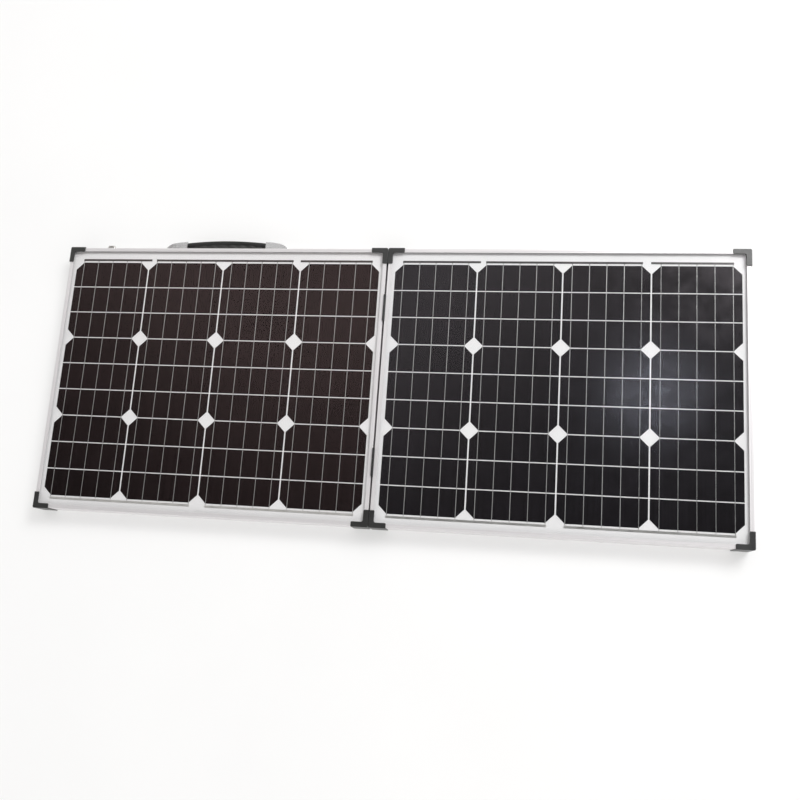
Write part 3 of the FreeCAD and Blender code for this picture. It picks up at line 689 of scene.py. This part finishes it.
for i in range(6):
    x = (tl.x + th.x) / 2 - 0.040 + 0.016 * i
    y = tl.y + 0.006
    bm = bmesh.new()
    n = 32
    top = [bm.verts.new((p[0], p[1], tl.z + 0.0009)) for p in ring(x, y, 0.00185, n)]
    bot = [bm.verts.new((p[0], p[1], tl.z + 0.0028)) for p in ring(x, y, 0.00185, n)]
    for q in range(n):
        bm.faces.new((top[q], top[(q + 1) % n], bot[(q + 1) % n], bot[q]))
    bm.faces.new(top)
    bm.faces.new(bot)
    o = obj_from(bm, "terminal_screw_%d" % i, "bolt")
    finish_mesh(o, 0.0003, 2)
    cut = bpy.data.objects.new("cutter", bpy.data.meshes.new("cutter"))
    SCENE.collection.objects.link(cut)
    bc = bmesh.new()
    bmesh.ops.create_cube(bc, size=1.0, matrix=Matrix.Translation((x, y, tl.z + 0.0009)) @ Matrix.Rotation(0.5 + i, 4, "Z") @ Matrix.Diagonal((0.006, 0.0006, 0.0012, 1)))
    bc.to_mesh(cut.data)
    bc.free()
    md = o.modifiers.new("c", "BOOLEAN")
    md.object = cut
    md.solver = "EXACT"
    dg = bpy.context.evaluated_depsgraph_get()
    me = bpy.data.meshes.new_from_object(o.evaluated_get(dg))
    o.modifiers.clear()
    o.data = me
    o.data.materials.clear()
    o.data.materials.append(MATS["bolt"])
    bpy.data.objects.remove(cut)
    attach(o, b)

# ------------------------------------------------------------------ floor, light
bm = bmesh.new()
vs = [bm.verts.new((x, y, -0.0004)) for x, y in ((-6, -6), (6, -6), (6, 6), (-6, 6))]
bm.faces.new(vs)
floor_me = bpy.data.meshes.new("floor")
bm.to_mesh(floor_me)
bm.free()
floor = bpy.data.objects.new("floor", floor_me)
SCENE.collection.objects.link(floor)
k = Mat("pale_floor")
d = k.n("ShaderNodeBsdfDiffuse")
tl_ = k.n("ShaderNodeBsdfTranslucent")
tint = k.mix(k.noise(3, 3), (0.90, 0.90, 0.90), (0.94, 0.94, 0.94))
k.link(tint, d.inputs[0])
k.link(tint, tl_.inputs[0])
mx = k.n("ShaderNodeMixShader")
# light comes up through the floor, but not along the seam
ax = k.math("ABSOLUTE", k.axis(0))
ay = k.math("ABSOLUTE", k.axis(1))
off = k.math("MAXIMUM", k.rng(ax, 0.005, 0.013, 0, 1, True), k.rng(ay, 0.20, 0.27, 0, 1, True))
k.link(k.math("MULTIPLY", off, 0.42), mx.inputs[0])
k.link(d.outputs[0], mx.inputs[1])
k.link(tl_.outputs[0], mx.inputs[2])
tp = k.n("ShaderNodeBsdfTransparent")
geo = k.n("ShaderNodeNewGeometry")
mx2 = k.n("ShaderNodeMixShader")
k.link(geo.outputs["Backfacing"], mx2.inputs[0])
k.link(mx.outputs[0], mx2.inputs[1])
k.link(tp.outputs[0], mx2.inputs[2])
k.link(mx2.outputs[0], k.out.inputs[0])
floor_me.materials.append(k.m)

world = bpy.data.worlds.new("studio")
SCENE.world = world
world.use_nodes = True
wt = world.node_tree
wt.nodes.clear()


def wn(kind, **kw):
    nd = wt.nodes.new(kind)
    for a, v in kw.items():
        setattr(nd, a, v)
    return nd


def wmath(op, a, b_=0.0, clamp=False):
    nd = wn("ShaderNodeMath", operation=op)
    nd.use_clamp = clamp
    for sck, v in zip(nd.inputs, (a, b_)):
        if isinstance(v, bpy.types.NodeSocket):
            wt.links.new(v, sck)
        else:
            sck.default_value = v
    return nd.outputs[0]


def wsmooth(v, a, b_):
    nd = wn("ShaderNodeMapRange", interpolation_type="SMOOTHSTEP")
    wt.links.new(v, nd.inputs["Value"])
    nd.inputs["From Min"].default_value = a
    nd.inputs["From Max"].default_value = b_
    return nd.outputs["Result"]


tc = wn("ShaderNodeTexCoord")
sp = wn("ShaderNodeSeparateXYZ")
wt.links.new(tc.outputs["Generated"], sp.inputs[0])
zs = wmath("MAXIMUM", sp.outputs[2], 0.05)
fy = wmath("DIVIDE", sp.outputs[1], zs)
fx = wmath("ABSOLUTE", wmath("DIVIDE", sp.outputs[0], zs))
fb = wmath("MULTIPLY", fy, -1.0)
m = wmath("MAXIMUM", wsmooth(fy, 0.12, 0.95), wmath("MAXIMUM", wsmooth(fx, 0.75, 1.5), wsmooth(fb, 0.35, 1.1)))
# a soft glow over the middle of the far side
gx = wmath("ADD", wmath("DIVIDE", sp.outputs[0], zs), 0.25)
gy = wmath("SUBTRACT", fy, 0.5)
r2 = wmath("ADD", wmath("MULTIPLY", gx, gx), wmath("MULTIPLY", gy, gy))
glow = wmath("MULTIPLY", wmath("EXPONENT", wmath("MULTIPLY", r2, -14.0)), 1.35)
m = wmath("ADD", m, glow)
mr = wn("ShaderNodeMapRange")
wt.links.new(m, mr.inputs["Value"])
mr.inputs["To Min"].default_value = 0.065
mr.inputs["To Max"].default_value = 0.92
up = wsmooth(sp.outputs[2], -0.02, 0.02)
under = wn("ShaderNodeMix", data_type="FLOAT")
wt.links.new(up, under.inputs[0])
under.inputs[2].default_value = 1.25
wt.links.new(mr.outputs["Result"], under.inputs[3])
lp = wn("ShaderNodeLightPath")
see = wn("ShaderNodeMix", data_type="FLOAT")
wt.links.new(lp.outputs["Is Camera Ray"], see.inputs[0])
wt.links.new(under.outputs[0], see.inputs[2])
see.inputs[3].default_value = 0.97
bg = wn("ShaderNodeBackground")
# the room overhead is dark, warmer to the left and slightly violet to the right
side_l = wsmooth(wmath("DIVIDE", wmath("MULTIPLY", sp.outputs[0], -1.0), zs), -0.15, 0.35)
dark = wmath("SUBTRACT", 1.0, m, True)
room = wn("ShaderNodeMix", data_type="RGBA")
wt.links.new(side_l, room.inputs[0])
room.inputs[6].default_value = (1.0, 0.97, 0.985, 1)
room.inputs[7].default_value = (1.0, 0.93, 0.92, 1)
skyc = wn("ShaderNodeMix", data_type="RGBA")
notcam = wmath("SUBTRACT", 1.0, lp.outputs["Is Camera Ray"])
wt.links.new(wmath("MULTIPLY", wmath("MULTIPLY", dark, up), notcam), skyc.inputs[0])
skyc.inputs[6].default_value = (1.0, 0.995, 0.985, 1)
wt.links.new(room.outputs[2], skyc.inputs[7])
wt.links.new(skyc.outputs[2], bg.inputs["Color"])
wt.links.new(see.outputs[0], bg.inputs["Strength"])
wo = wn("ShaderNodeOutputWorld")
wt.links.new(bg.outputs[0], wo.inputs[0])


def area(name, loc, aim, sx, sy, power, color=(1, 1, 1)):
    ld = bpy.data.lights.new(name, "AREA")
    ld.shape = "RECTANGLE"
    ld.size, ld.size_y, ld.energy, ld.color = sx, sy, power, color
    ob = bpy.data.objects.new(name, ld)
    SCENE.collection.objects.link(ob)
    ob.location = loc
    ob.rotation_euler = (Vector(aim) - Vector(loc)).to_track_quat("-Z", "Y").to_euler()
    return ob


area("key_softbox", (2.4, 2.5, 3.4), (0.1, 0, 0), 2.4, 1.8, 138)
area("fill_front", (0.2, -3.2, 1.6), (0, 0, 0), 3.0, 1.0, 10)
area("lamp_glare", (1.21, 1.14, 4.2), (0.5, 0.0, 0.0), 0.45, 0.45, 2.7, (0.78, 0.90, 1.0))
